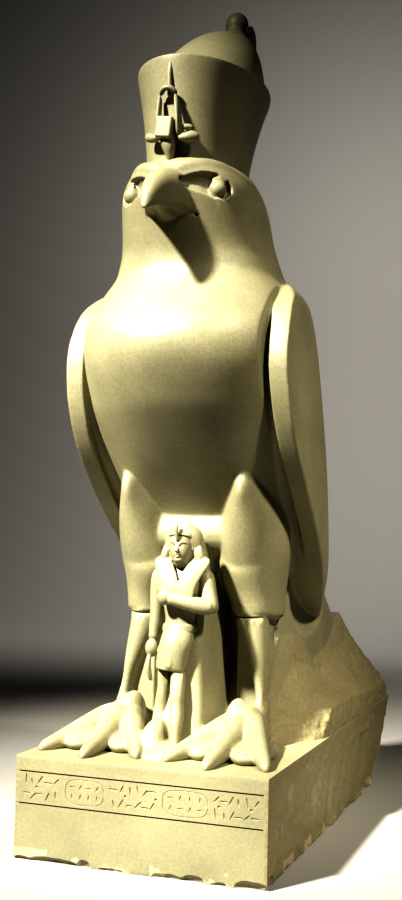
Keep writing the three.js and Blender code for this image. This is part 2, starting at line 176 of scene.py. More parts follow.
# rings bridged one to the next, with both ends closed, or the last joined to the first in a hoop
def skinned(name, rings, levels=2, hoop=False):
    around = len(rings[0])
    piece = emptied(name)
    for ring in rings:
        addRing(piece, ring)
    bpy.ops.mesh.select_mode(type="EDGE")
    for i in range(len(rings) if hoop else len(rings) - 1):
        selectRings(piece, around, (i, (i + 1) % len(rings)))
        bpy.ops.mesh.bridge_edge_loops()
    for end in () if hoop else (0, len(rings) - 1):
        selectRings(piece, around, (end,))
        bpy.ops.mesh.edge_face_add()
    bpy.ops.mesh.select_mode(type="VERT")
    facedOut(piece)
    return smoothed(piece, levels) if levels else piece


# cage rows whose subdivided skin runs through the rows asked for
def cageRows(rows):
    cage = [list(row) for row in rows]
    for _ in range(40):
        for i in range(1, len(rows) - 1):
            for k, wanted in enumerate(rows[i]):
                cage[i][k] += wanted - (cage[i - 1][k] + 4 * cage[i][k] + cage[i + 1][k]) / 6
    return cage


def power(value, exponent):
    return math.copysign(abs(value) ** exponent, value)


# level rings: height, half width, front, middle, back, squareness in front and behind
def tower(name, rows, around=16, levels=2, middleX=0):
    swell = 3 / (2 + math.cos(2 * math.pi / around))
    rings = []
    for z, half, front, middle, back, squareFront, squareBack in cageRows(rows):
        ring = []
        for j in range(around):
            angle = 2 * math.pi * j / around
            ahead = math.sin(angle) < 0
            exponent = 2 / (squareFront if ahead else squareBack)
            reach = middle - front if ahead else back - middle
            x = half * power(math.cos(angle), exponent) * swell
            y = middle + reach * power(math.sin(angle), exponent) * swell
            ring.append(place(middleX + x, y, z))
        rings.append(ring)
    return skinned(name, rings, levels)


# tapering limb: x, y, z, radius across, radius the other way
def limb(name, rows, around=10, levels=2, side=(1, 0, 0)):
    swell = 3 / (2 + math.cos(2 * math.pi / around))
    cage = cageRows(rows)
    rings = []
    for i, (x, y, z, wide, deep) in enumerate(cage):
        before, after = cage[max(i - 1, 0)], cage[min(i + 1, len(cage) - 1)]
        along = Vector([b - a for a, b in zip(before[:3], after[:3])]).normalized()
        across = Vector(side)
        across = (across - along * across.dot(along)).normalized()
        up = along.cross(across)
        ring = []
        for j in range(around):
            angle = 2 * math.pi * j / around
            reach = across * (wide * swell * math.cos(angle)) + up * (deep * swell * math.sin(angle))
            ring.append(place(x + reach.x, y + reach.y, z + reach.z))
        rings.append(ring)
    return skinned(name, rings, levels)


def ball(name, x, y, z, radiusX, radiusY, radiusZ, around=24):
    deselected()
    bpy.ops.mesh.primitive_uv_sphere_add(
        segments=around, ring_count=around // 2, radius=unit, location=place(x, y, z),
        scale=(radiusX, radiusY, radiusZ)
    )
    piece = settled()
    piece.name = name
    return piece


def box(name, low, high, turn=0.0):
    deselected()
    middle = [(a + b) / 2 for a, b in zip(low, high)]
    size = [(b - a) * unit for a, b in zip(low, high)]
    bpy.ops.mesh.primitive_cube_add(size=1, location=place(*middle), rotation=(0, turn, 0), scale=size)
    piece = settled()
    piece.name = name
    return piece


# a side view drawn vertex by vertex, then pulled out across the statue
def sidePlate(name, outline, x0, x1):
    piece = emptied(name)
    addRing(piece, [place(x0, y, z) for y, z in outline])
    bpy.ops.mesh.select_all(action="SELECT")
    bpy.ops.mesh.edge_face_add()
    bpy.ops.mesh.extrude_region_move(TRANSFORM_OT_translate={"value": ((x1 - x0) * unit, 0, 0)})
    return facedOut(piece)


def curvePoints(points, count):
    last = len(points) - 1
    made = []
    for step in range(count + 1):
        t = step * last / count
        i = min(int(t), last - 1)
        f = t - i
        p0, p1, p2, p3 = (points[min(max(n, 0), last)] for n in (i - 1, i, i + 1, i + 2))
        made.append([
            b + f * ((c - a) / 2 + f * ((a - 2.5 * b + 2 * c - d / 2) + f * (1.5 * (b - c) + (d - a) / 2)))
            for a, b, c, d in zip(p0, p1, p2, p3)
        ])
    return made


# closed forms melted into one skin and softened
def melted(name, forms, grain, soften):
    piece = joinedAs(name, forms) if len(forms) > 1 else forms[0]
    grain *= 1
    applied(piece, "REMESH", mode="VOXEL", voxel_size=grain * unit, use_smooth_shade=True)
    if soften:
        applied(piece, "SMOOTH", factor=0.5, iterations=soften)
    return piece


def thinned(piece, triangles):
    count = sum(len(face.vertices) - 2 for face in piece.data.polygons)
    if count > triangles:
        applied(piece, "DECIMATE", ratio=triangles / count)
    left = sum(len(face.vertices) - 2 for face in piece.data.polygons)
    print(piece.name, "done, from", count, "triangles to", left)
    return piece


bodyForm = {
    "rows": [
        [196, 58, -56, 10, 132, 3, 2.4],
        [220, 66, -86, 4, 118, 2.8, 2.4],
        [240, 69, -100, -8, 107, 2.7, 2.3],
        [258, 72, -111, -30, 98, 2.8, 2.2],
        [282, 73.5, -131, -48, 84, 3.2, 2],
        [308, 84, -156, -60, 70, 2.6, 2],
        [335, 93, -180, -68, 55, 2.3, 2],
        [350, 97, -191, -71, 47, 2.2, 2],
        [370, 99, -202, -75, 37, 2.2, 2],
        [390, 99, -206.5, -80, 27, 2.2, 2],
        [408, 97, -201, -83, 16, 2.2, 2],
        [424, 90, -189, -86, 6, 2.2, 2],
        [438, 80, -178.5, -89, -4, 2.3, 2],
        [450, 71, -172, -92, -15, 2.3, 2],
        [460, 67, -171, -95, -19, 2.3, 2],
        [470, 64.2, -173, -99, -26, 2.2, 2],
        [485, 61.7, -178.5, -107, -37, 2.1, 2],
        [500, 60.2, -183.5, -112, -45, 2.1, 2],
        [516, 56.5, -187, -117, -48, 2.2, 2],
        [529, 50, -184, -118, -50, 2.2, 2],
        [538, 40, -174, -114, -54, 2.2, 2],
        [541, 20, -140, -112, -80, 2, 2],
    ],
    "flank": 73.5,
}


def makeBody():
    flank = bodyForm["flank"]
    sides = box("sides", (-flank, -300, 100), (flank, 300, 600))
    return combined(tower("body", bodyForm["rows"], around=24), sides, "INTERSECT")


wingForm = {
    "rows": [
        [130, 50, -190, 60, 150, 3, 2.4],
        [146, 58, -190, 40, 156, 3, 2.4],
        [176, 74, -200, 0, 144, 3, 2.2],
        [204, 87, -215, -30, 133, 3.2, 2],
        [232, 93, -230, -52, 119, 3.4, 2],
        [264, 95, -240, -60, 102, 3.6, 2],
        [300, 96, -240, -66, 82, 3.8, 2],
        [340, 96, -240, -76, 60, 4, 2],
        [380, 95, -240, -84, 38, 4, 2],
        [408, 93.5, -240, -90, 20, 4, 2],
        [426, 91, -235, -93, 8, 3.6, 2],
        [437, 87, -230, -95, -2, 3.2, 2],
        [446, 79, -215, -95, -12, 2.6, 2],
        [453, 66, -200, -95, -20, 2.4, 2],
        [455, 40, -160, -95, -40, 2.4, 2],
    ],
    "edge": [
        [-96, 452], [-124, 436], [-145, 419], [-160, 389], [-158, 356], [-139, 318], [-101, 279],
        [-57, 242], [-8, 204], [58, 173], [118, 156],
    ],
    "thickness": 16,
    "step": 10,
    "stepLow": (215, 45),
    "stepHigh": (420, 20),
    "behind": [(300, 158), (300, 470), (-96, 470)],
}


def ramped(value):
    return min(max(value, 0), 1)


# the step behind the wing's rim fades out at both ends
def wingEdge(inset):
    (low, lowFade), (high, highFade) = wingForm["stepLow"], wingForm["stepHigh"]
    outline = []
    for y, z in curvePoints(wingForm["edge"], 60):
        share = ramped((z - low) / lowFade) * ramped((high - z) / highFade)
        outline.append((y + (share * (inset + 1) - 1 if inset else 0), z))
    return outline + wingForm["behind"]


def makeWings():
    inner = []
    for z, half, front, middle, back, squareFront, squareBack in wingForm["rows"]:
        thick = wingForm["thickness"]
        inner.append([z - 1, half - thick, front - 5, middle, back - thick, squareFront, squareBack])
    hollow = tower("hollow", inner, around=24)
    combined(hollow, sidePlate("keepWing", wingEdge(wingForm["step"]), -150, 150), "DIFFERENCE")
    wings = tower("wings", wingForm["rows"], around=24)
    combined(wings, sidePlate("cutWing", wingEdge(0), -150, 150), "INTERSECT")
    return combined(wings, hollow, "DIFFERENCE")


tailForm = {
    "rows": [
        [30, 60, -64, 80, 226, 8, 5],
        [60, 60, -64, 80, 232, 8, 5],
        [100, 60, -64, 80, 233, 8, 5],
        [124, 60, -64, 74, 226, 8, 5],
        [146, 60, -64, 62, 200, 8, 5],
        [165, 60, -64, 50, 174, 8, 5],
        [184, 59.5, -64, 40, 151, 8, 4.4],
        [204, 56, -68, 30, 138, 8, 3.4],
        [226, 50, -103, 10, 115, 6, 2.6],
        [250, 48, -113, 0, 94, 6, 2.4],
        [290, 40, -90, -10, 50, 4, 2],
    ],
    "web": [[-94, 40], [-94, 174], [-60, 172], [-38, 167], [2, 161], [30, 148], [110, 112], [170, 40]],
    "webHalfWidth": 59,
    "underWing": (64, 45, 188, 12, 70, 42),
    "gapHalfWidth": 36,
}


def makeTail():
    tail = tower("tail", tailForm["rows"], around=24)
    web = sidePlate("web", tailForm["web"], -tailForm["webHalfWidth"], tailForm["webHalfWidth"])
    gap = tailForm["gapHalfWidth"]
    combined(web, box("gap", (-gap, -150, 40), (gap, -64, 200)), "DIFFERENCE")
    return [onBothSides(tail, ball("underWing", *tailForm["underWing"]), "DIFFERENCE"), web]


legForm = {
    "thigh": [
        [49.5, -134, 291, 4, 11], [48.5, -121, 284, 10, 21], [47.2, -107, 273, 17.5, 30],
        [46, -95, 260, 23, 36.5], [45, -86, 249, 26.4, 40.5], [44.2, -76.5, 237, 28.4, 43.5],
        [43.2, -71.5, 222, 28.6, 44], [43.8, -70, 206, 26.2, 41], [46, -70, 190, 22.6, 35.4],
        [47.3, -70.4, 178, 20.6, 32.4], [47.4, -70.6, 175, 19.6, 31.4],
    ],
    "shank": [
        [45.5, -84.6, 190, 13.6, 18], [46.3, -85.4, 176, 13.8, 17.6], [47.6, -86.6, 166, 12.8, 16.8],
        [50.4, -88.2, 155, 11, 15.8], [53.6, -90, 142, 9, 14.4], [56.4, -92, 129, 6.8, 13],
        [58.4, -94, 117, 5.2, 11.6], [60, -98, 104, 5.6, 11.6], [60, -102, 90, 8, 13],
        [58, -106, 66, 12, 18],
    ],
}


def makeLeg():
    thigh = limb("thigh", legForm["thigh"], around=16)
    shank = limb("shank", legForm["shank"], around=14)
    return [thigh, shank]


footForm = {
    "root": (52, -106),
    "ankle": [(51, -113, 90, 14.5, 21, 19), (45.5, -116, 93.5, 10, 16, 19)],
    "tips": [(92, -192), (49, -206), (11, -190)],
    "toe": [
        (0.0, 93, 12.0, 15.0), (0.2, 90, 11.0, 14.0), (0.4, 86, 9.6, 12.4), (0.58, 82, 8.2, 10.4),
        (0.74, 78.8, 6.8, 8.2), (0.86, 76.6, 5.6, 6.4), (0.93, 75.4, 4.8, 5.2), (0.97, 74, 3.2, 3.8),
        (1.0, 72, 1.6, 2.0),
    ],
    "webs": [((69, -148, 77), (17, 33, 9)), ((33, -148, 77), (15, 30, 9))],
}


# the thin break line under each thigh, and the small opening behind the top of the shank
creaseForm = {
    "middle": (47.4, -70.6),
    "height": (174.7, 176),
    "outer": (22.5, 34.5),
    "inner": (18, 29.8),
    "innerHeight": 9,
    "notch": (62, -58, 158, 8, 8, 8),
}


def cutLegs(bird):
    form = creaseForm
    (x, y), (low, high) = form["middle"], form["height"]
    discs = []
    for size, tall in ((form["outer"], high - low), (form["inner"], form["innerHeight"])):
        deselected()
        bpy.ops.mesh.primitive_cylinder_add(
            vertices=64, radius=unit, depth=unit, location=place(x, y, (low + high) / 2), scale=(*size, tall)
        )
        discs.append(settled())
    groove = combined(discs[0], discs[1], "DIFFERENCE")
    for piece in (groove, ball("notch", *form["notch"])):
        onBothSides(bird, piece, "DIFFERENCE")
    return bird


def makeFoot():
    forms = [ball("ankle", *numbers) for numbers in footForm["ankle"]]
    rootX, rootY = footForm["root"]
    for tipX, tipY in footForm["tips"]:
        rows = [
            [rootX + (tipX - rootX) * t, rootY + (tipY - rootY) * t, z, wide, deep]
            for t, z, wide, deep in footForm["toe"]
        ]
        forms.append(limb("toe", rows, around=10))
    for middle, size in footForm["webs"]:
        forms.append(ball("toeWeb", *middle, *size))
    return forms


headForm = {
    "beak": [
        [-158, 518, 490, 28], [-172, 524, 492, 22.5], [-183, 526.4, 494, 18], [-192, 524.8, 494.8, 15],
        [-200, 521.6, 493.8, 12.2], [-208, 516.8, 492.4, 10], [-215, 511.2, 490.4, 8],
        [-221, 504.8, 488, 6], [-226, 497, 485.8, 3.6], [-228.4, 489.6, 484.6, 1.4],
    ],
    "mandible": [
        [0, -168, 490, 12, 5], [0, -182, 491.4, 8, 3.8], [0, -194, 492.2, 5, 2.8],
        [0, -203, 492.4, 3, 2], [0, -209, 491.6, 1.4, 1],
    ],
    "brow": [
        [1, -184, 525, 4, 4], [11, -181.5, 526.5, 6, 5], [24, -172, 529, 7.4, 5.6],
        [36, -156, 528.5, 7.6, 6], [46, -137, 523.5, 6.4, 5.6], [52, -121, 516, 4.4, 4.4],
        [55, -108, 507, 2, 2],
    ],
    "socket": [
        [7, -189.5, 513.6, 1.4, 1.6], [13, -188.2, 514.4, 3.6, 3.8], [20.5, -184, 515.2, 6.2, 6],
        [29, -178.4, 515.4, 8.6, 7], [36, -171.4, 513.8, 9.8, 7.6], [41, -165, 512, 8.4, 6.4],
        [44.6, -158.6, 511.4, 3.6, 3.4],
    ],
    "eye": (36.2, -166.2, 512, 7, 7, 7.1),
    "lid": {"radius": 8, "thick": 1.7, "ahead": 1.8, "facing": (0.62, -0.78, 0.02), "from": 40, "to": 140},
    "mouth": [
        [0.5, -226, 486.2, 0.8, 0.8], [4.6, -214, 490.2, 1, 1.4], [9.2, -201, 493, 1.1, 1.8],
        [13, -190.5, 493.8, 1.2, 2.2], [18.4, -181, 492.4, 1.2, 2.4], [23.4, -173.5, 490.4, 1, 2],
        [27, -168, 488.6, 0.5, 0.8],
    ],
}


# upright rings going forward: y, ridge height, edge height, half width at the edge, fuller above it
def vault(name, rows, around=14, under=2.0, fuller=0.3):
    swell = 3 / (2 + math.cos(2 * math.pi / around))
    rings = []
    for y, top, edge, half in cageRows(rows):
        ring = []
        for j in range(around):
            angle = 2 * math.pi * j / around
            rise = math.sin(angle)
            tall = (top - edge) if rise > 0 else under
            wide = half * swell * (1 + fuller * max(rise, 0)) * power(math.cos(angle), 0.86)
            ring.append(place(wide, y, edge + tall * swell * power(rise, 0.9)))
        rings.append(ring)
    return skinned(name, rings)


def makeHead():
    forms = [vault("beak", headForm["beak"]), limb("mandible", headForm["mandible"], around=12)]
    brow = limb("brow", headForm["brow"], around=12, side=(0, 0, 1))
    return forms + [brow, mirroredCopy(brow)]


def cutHead(bird):
    for part in ("socket", "mouth"):
        onBothSides(bird, limb(part, headForm[part], around=12, side=(0, 0, 1)), "DIFFERENCE")
    return bird


# the eyeball, with the fold of the upper lid round it
def makeEye():
    form = headForm["lid"]
    x, y, z, *_ = headForm["eye"]
    facing = Vector(form["facing"]).normalized()
    across = facing.cross(Vector((0, 0, 1))).normalized()
    up = across.cross(facing)
    rows = []
    for step in range(11):
        share = step / 10
        angle = math.radians(form["from"] + (form["to"] - form["from"]) * share)
        spot = Vector((x, y, z)) + facing * form["ahead"]
        spot += (across * math.cos(angle) + up * math.sin(angle)) * form["radius"]
        size = form["thick"] * (0.35 + 0.65 * math.sin(math.pi * share))
        rows.append([*spot, size, size])
    return [ball("eye", *headForm["eye"]), limb("lid", rows, around=8, side=facing)]


# upright slices: y, then the corners x, z of the outline from the inside out
skirtForm = {
    "rows": [
        [-104, 57, 74, 60, 73, 62, 72, 64, 71],
        [-88, 57, 100, 62, 88, 66, 78, 69, 71],
        [-70, 58, 130, 64, 106, 74, 86, 81, 71],
        [-54, 59, 146, 65, 117, 80, 94, 91, 71.5],
        [-42, 59.5, 154, 66, 124, 83, 99, 98, 74],
        [-30, 59.5, 158, 67, 128, 84, 102, 99.2, 88],
        [-10, 59.5, 160, 67, 130, 84, 103, 99.2, 97],
        [20, 59.5, 152, 67, 126, 84, 101, 99.2, 96],
        [60, 58, 130, 67, 114, 84, 99, 99.2, 94.5],
        [110, 58, 136, 68, 122, 82, 106, 99.2, 91],
        [180, 58, 162, 66, 147, 84, 116, 99.2, 88],
        [212, 55, 133, 68, 127, 87, 108, 99.2, 88],
        [230, 50, 110, 78, 107, 90, 96, 99.2, 84],
    ],
    "foot": 40,
}


def makeSkirt():
    rings = []
    foot = skirtForm["foot"]
    for y, *pairs in skirtForm["rows"]:
        corners = [(pairs[i], pairs[i + 1]) for i in range(0, len(pairs), 2)]
        edge = corners[-1][0]
        outline = [(0, foot), (0, corners[0][1])] + corners + [(edge, foot + 12), (edge - 30, foot)]
        rings.append([place(x, y, z) for x, z in outline])
    half = skinned("skirt", rings, levels=0)
    applied(half, "SUBSURF", levels=3, render_levels=3, subdivision_type="SIMPLE")
    return [half, mirroredCopy(half)]


# dents the surface with a cloudy noise: its size, detail and depth, and the level that stays in place
def dented(piece, name, size, detail, depth, level, group=""):
    noise = bpy.data.textures.new(name, "CLOUDS")
    noise.noise_scale = size * unit
    noise.noise_depth = detail
    return applied(piece, "DISPLACE", texture=noise, texture_coords="LOCAL", mid_level=level,
                   strength=depth * unit, vertex_group=group)


roughForm = {
    "inner": 61,
    "outRamp": 5,
    "front": -112,
    "backRamp": 10,
    "top": 84,
    "topRamp": 12,
    "coarse": (16, 2, 3.2, 0.62),
    "fine": (5, 2, 1.6, 0.62),
}


# the skirt keeps the marks of the hammer
def hammered(bird):
    form = roughForm
    group = bird.vertex_groups.new(name="rough")
    front = place(0, form["front"], 0).y
    groups = [[] for _ in range(5)]
    for vert in bird.data.vertices:
        x, y, z = vert.co
        out = (abs(x) / unit - form["inner"]) / form["outRamp"]
        back = (y - front) / unit / form["backRamp"]
        low = (drawing["plinthTop"] + drawing["lift"] + form["top"] - z / unit) / form["topRamp"]
        share = min(out, back, low, 1)
        if share > 0.1:
            groups[int(share * 4)].append(vert.index)
    for level, indices in enumerate(groups):
        if indices:
            group.add(indices, level / 4, "REPLACE")
    for name in ("coarse", "fine"):
        dented(bird, name, *form[name], group="rough")
    return bird


def makeBird():
    leg = makeLeg() + makeFoot()
    forms = [makeBody(), makeWings()] + makePillar() + makeTail() + makeHead() + makeSkirt()
    forms += leg + [mirroredCopy(form) for form in leg]
    bird = melted("falcon", forms, grain=1.15, soften=4)
    cutHead(bird)
    for form in makeEye():
        onBothSides(bird, form, "UNION")
    bird = cutLegs(melted("falcon", [bird], grain=0.95, soften=4))
    return hammered(bird)


crownForm = {
    "cup": [
        [518, 30, -160, -112, -62, 2, 2],
        [526, 37.5, -172, -112, -52, 2, 2],
        [545, 39.5, -174, -112, -50, 2, 2],
        [575, 43.5, -176, -107, -40, 2, 2],
        [600, 48.5, -179, -102, -28, 2, 2],
        [614, 51.6, -181, -99, -19, 2, 2],
        [618, 52.2, -181.2, -99, -18, 2, 2],
        [619.4, 51.2, -180.2, -99, -19, 2, 2],
        [620, 44, -172, -99, -26, 2, 2],
    ],
    "bulb": [
        [606, 48, -167, -94, -24, 2, 2],
        [620, 45.5, -158, -89, -21, 2, 2],
        [635, 42, -142, -80, -18, 2, 2],
        [656, 35, -116, -64, -14, 2, 2],
        [675, 25.5, -86, -46, -10, 2, 2],
        [688, 16.5, -57, -32, -8, 2, 2],
        [697, 9.6, -35, -22, -9, 2, 2],
        [706, 7.6, -28, -19, -10, 2, 2],
        [712, 5, -24, -19, -14, 2, 2],
    ],
    "knob": (0, -19, 708.4, 10.6, 10.6, 11.6),
    "spire": [
        [-24, 600], [-60, 600], [-40, 640], [-14, 690], [-8, 708], [2, 716], [13, 714], [18, 704],
        [14, 680], [-6, 630],
    ],
    "spireWidth": 15,
    "rear": [
        [596, 24, -60, -40, -28, 2.4, 2.4],
        [610, 22, -58, -38, -22, 2.4, 2.4],
        [628, 18, -50, -30, -16, 2.4, 2.4],
        [648, 12, -40, -22, -8, 2.4, 2.4],
        [664, 6, -30, -16, -2, 2.4, 2.4],
    ],
}


def makeCrown():
    outline = curvePoints(crownForm["spire"] + crownForm["spire"][:1], 50)[:-1]
    half = crownForm["spireWidth"] / 2
    spire = sidePlate("spire", outline, -half, half)
    forms = [
        tower("cup", crownForm["cup"], around=24),
        tower("bulb", crownForm["bulb"], around=20),
        ball("knob", *crownForm["knob"]),
        spire,
        tower("rearWall", crownForm["rear"], around=16),
    ]
    return melted("crown", forms, grain=0.9, soften=4)


cobraForm = {
    "tail": [
        [0, -179, 617, 1.6, 1.6], [-1, -180.5, 604, 2.0, 2.2], [-0.5, -180, 592, 2.0, 2.6],
        [-0.5, -180, 584, 2.6, 3],
    ],
    "lid": [
        [-8, -181, 586, 2, 2.4], [-4, -184.5, 590, 2.4, 3], [2, -184.5, 590, 2.4, 3],
        [6, -181, 585, 2, 2.4],
    ],
    "leftRim": [
        [-8, -181, 587, 1.8, 3.4], [-8.4, -182, 574, 1.6, 4], [-8, -183, 562, 1.8, 4],
        [-5, -182, 552, 2, 4],
    ],
    "rightRim": [
        [5, -181, 587, 1.8, 4], [7.4, -182.5, 574, 1.9, 5.4], [9, -183.5, 563, 2.0, 6],
        [9, -183, 551, 2.2, 4],
    ],
    "hollow": ((-6.4, -186, 563), (4.2, -177.6, 584)),
    "stump": ((-7.5, -191.5, 549.5), (5.5, -172, 566)),
    "stumpTurn": 0.12,
    "throat": [
        [0, -182, 556, 7.5, 8], [0, -181, 546, 6, 6.5], [0.5, -179, 538, 3.4, 4.4],
        [0.5, -177, 530, 1.2, 2],
    ],
    "coilRight": [
        [8, -183, 552, 3.4, 4], [13, -181, 551, 3.6, 4], [18, -178.5, 552, 4.4, 4.4],
        [21.4, -176, 552, 3.4, 3.6], [22.6, -174.5, 552, 1.4, 1.4],
    ],
    "coilTop": [[9, -182, 558, 2, 2.4], [14, -180, 559.6, 2.4, 2.6], [19.4, -177.6, 558.6, 2.2, 2.4]],
    "coilLeft": [
        [-8, -182, 552, 3, 3.6], [-14, -179.5, 553, 3.6, 4], [-19, -176, 555, 3.6, 3.6],
        [-21, -174, 555, 1.4, 1.4],
    ],
}


def makeCobra():
    forms = []
    for part in ("tail", "leftRim", "rightRim", "throat"):
        forms.append(limb("cobra", cobraForm[part], around=10))
    for part in ("lid", "coilRight", "coilLeft", "coilTop"):
        forms.append(limb("cobra", cobraForm[part], around=10, side=(0, 0, 1)))
    stump = box("cobra", *cobraForm["stump"], turn=cobraForm["stumpTurn"])
    applied(stump, "BEVEL", width=1.0 * unit, segments=2)
    forms.append(stump)
    return melted("cobra", forms, grain=0.5, soften=3)


kingForm = {
    "height": 178,
    "drawnHeight": 180,
    "x": 3,
    "y": -145,
    "feet": ((-11, 4), (7.4, -20.6)),
    "trunk": [
        [0, 5, 90, 13.5, 10], [0, 5, 96, 13, 9.4], [0, 5, 103, 12.2, 8.6], [0, 5, 112, 13.6, 9.2],
        [0, 5, 121, 16.6, 10.6], [0, 5.5, 130, 19.2, 11.4], [0, 7, 138, 20.5, 9.6],
        [0, 8, 143, 16, 8.4], [0, 7, 147, 9, 7.6], [0, 5, 152, 7.4, 7.4],
    ],
    "chest": (8.5, -2.6, 127, 8.4, 4.4, 6.4),
    "belt": [[0, 5, 94.5, 14.2, 10.6], [0, 5, 95, 14.6, 11], [0, 5, 99, 14.0, 10.4], [0, 5, 99.5, 13.4, 9.8]],
    "kilt": [
        [-4.6, 0, 63.5, 11.6, 10.8], [-4.6, 0, 64.5, 12.6, 11.6], [-3.6, 0.4, 74, 13, 12],
        [-1.4, 1.6, 84, 13.4, 12], [-0.4, 3.4, 91, 13.2, 11], [0, 5, 96, 12.8, 10],
        [0, 5, 98, 11.6, 8.8],
    ],
    "flap": [
        [-3.6, -9, 64, 4.6, 3.6], [-2.8, -8.6, 72, 4.2, 3.6], [-1.2, -7.4, 82, 3.6, 3.2],
        [0, -5, 91, 2.4, 2.6], [0, -4, 95, 1.6, 1.6],
    ],
    "hangingArm": [
        [-15, 8, 142.5, 5, 5.6], [-18.6, 7.6, 138, 6.8, 7.2], [-20, 7, 129, 6.6, 7.2],
        [-20.4, 6.4, 118, 6, 6.6], [-20.6, 5.4, 108, 5.2, 6], [-20.8, 4, 99, 5, 5.8],
        [-21, 2, 91, 4.3, 5], [-21.2, 0, 86, 4, 4.6],
    ],
    "hangingHand": (-21.4, -1.4, 80, 5.2, 6.2, 7.4),
    "upperArm": [
        [15.5, 8, 142.5, 5, 5.6], [19.8, 7.4, 138, 7, 7.4], [22.4, 6, 130, 7, 7.6],
        [25, 3.6, 121, 6.8, 7.4], [27.4, 0.6, 113.4, 6.4, 7], [28, -0.6, 109.6, 4.4, 4.8],
    ],
    "foreArm": [
        [30, 0, 114.5, 4, 4.2], [26, -2, 114.6, 6.6, 6.4], [18, -6, 116, 6.4, 6.2],
        [9, -9, 118, 5.6, 5.6], [1, -11, 120, 5.2, 5.2], [-4, -11.6, 121.4, 5.2, 5.2],
    ],
    "fist": (-7.4, -11.6, 121.6, 6, 5.6, 6.4),
    "rightLeg": [
        [-11.6, 4, 66, 5.8, 8], [-11.6, 4, 54, 5.6, 7.6], [-11.6, 3.6, 44, 5.2, 6.8],
        [-11.6, 4.6, 36, 5, 6.6], [-11.6, 6, 26, 5, 7], [-11.4, 6, 16, 4.2, 5.8],
        [-11.2, 5.4, 7, 3.8, 5], [-11, 4, 1, 4.2, 5.6],
    ],
    "leftLeg": [
        [2, 1, 66, 6.2, 8], [2.6, -3, 54, 6, 7.6], [3.8, -7.6, 44, 5.6, 6.8], [4.6, -9, 36, 5.2, 6.6],
        [5.4, -12, 26, 5.4, 7], [6.2, -15.6, 16, 4.4, 5.8], [7, -18.6, 7, 3.8, 5],
        [7.4, -20.6, 1, 4.2, 5.8],
    ],
    "sole": [
        (0, 11, 2.6, 4, 3.2), (0, 4, 3.4, 5, 4.6), (0, -6, 2.6, 5.4, 3.6), (0, -14, 1.8, 5.6, 2.6),
        (0, -18, 1.2, 4, 1.8),
    ],
    "sword": [
        [-21.4, -3, 80, 2, 2], [-21.8, -6, 70, 2, 3], [-21.4, -7, 64, 2, 3.4],
        [-20.6, -6, 58, 1.8, 2.4], [-20, -4, 54, 1.2, 1.4],
    ],
    "filler": [
        [58, 19, -190, -162, -120, 3, 4],
        [72, 18, -187, -160, -120, 3, 4],
        [79, 13, -178, -156, -124, 2.6, 3],
        [82, 6, -168, -152, -130, 2, 2],
    ],
    "fillerHigh": [
        [60, 12, -180, -158, -125, 2.6, 4],
        [78, 11, -175, -155, -125, 2.6, 4],
        [90, 8.4, -168, -150, -125, 2.6, 4],
        [98, 4, -158, -146, -130, 2, 2],
    ],
    "pillar": [
        [58, 24, -158, -110, -40, 6, 8],
        [90, 23, -150, -105, -40, 6, 8],
        [110, 22, -144, -100, -40, 6, 8],
        [147, 19, -139, -95, -40, 6, 8],
        [181, 16.4, -137, -95, -40, 6, 8],
        [217, 13.4, -136, -95, -40, 5, 8],
        [235, 10.8, -132, -90, -40, 4, 8],
        [246, 6, -122, -85, -42, 3, 5],
        [250, 3, -114, -80, -45, 3, 4],
    ],
}


def kingPoint(x, y, z, *sizes):
    share = kingForm["height"] / kingForm["drawnHeight"]
    moved = [kingForm["x"] + x * share, kingForm["y"] + y * share, drawing["plinthTop"] + z * share]
    return moved + [size * share for size in sizes]


def kingLimb(part, around=12, levels=2, side=(1, 0, 0)):
    return limb(part, [kingPoint(*row) for row in kingForm[part]], around, levels, side)


def makeKing():
    upright = ("trunk", "belt", "kilt", "flap", "hangingArm", "upperArm", "rightLeg", "leftLeg")
    forms = [kingLimb(part) for part in upright]
    forms += [kingLimb("foreArm", side=(0, 0, 1)), kingLimb("sword", around=8)]
    x, y, z, *sizes = kingForm["chest"]
    for sign in (-1, 1):
        forms.append(ball("chest", *kingPoint(sign * x, y, z, *sizes)))
    forms.append(ball("hangingHand", *kingPoint(*kingForm["hangingHand"])))
    forms.append(ball("fist", *kingPoint(*kingForm["fist"])))
    for legX, legY in kingForm["feet"]:
        rows = [kingPoint(legX + x, legY + y, z, wide, deep) for x, y, z, wide, deep in kingForm["sole"]]
        forms.append(limb("sole", rows, around=10))
    return melted("king", forms, grain=0.55, soften=3)


# the pillar behind the small figure, and the stone left round its feet
def makePillar():
    middle = kingForm["x"]
    return [
        tower("pillar", kingForm["pillar"], around=20, middleX=middle),
        tower("filler", kingForm["filler"], around=16, middleX=middle - 1),
        tower("fillerHigh", kingForm["fillerHigh"], around=16, middleX=middle - 13),
    ]


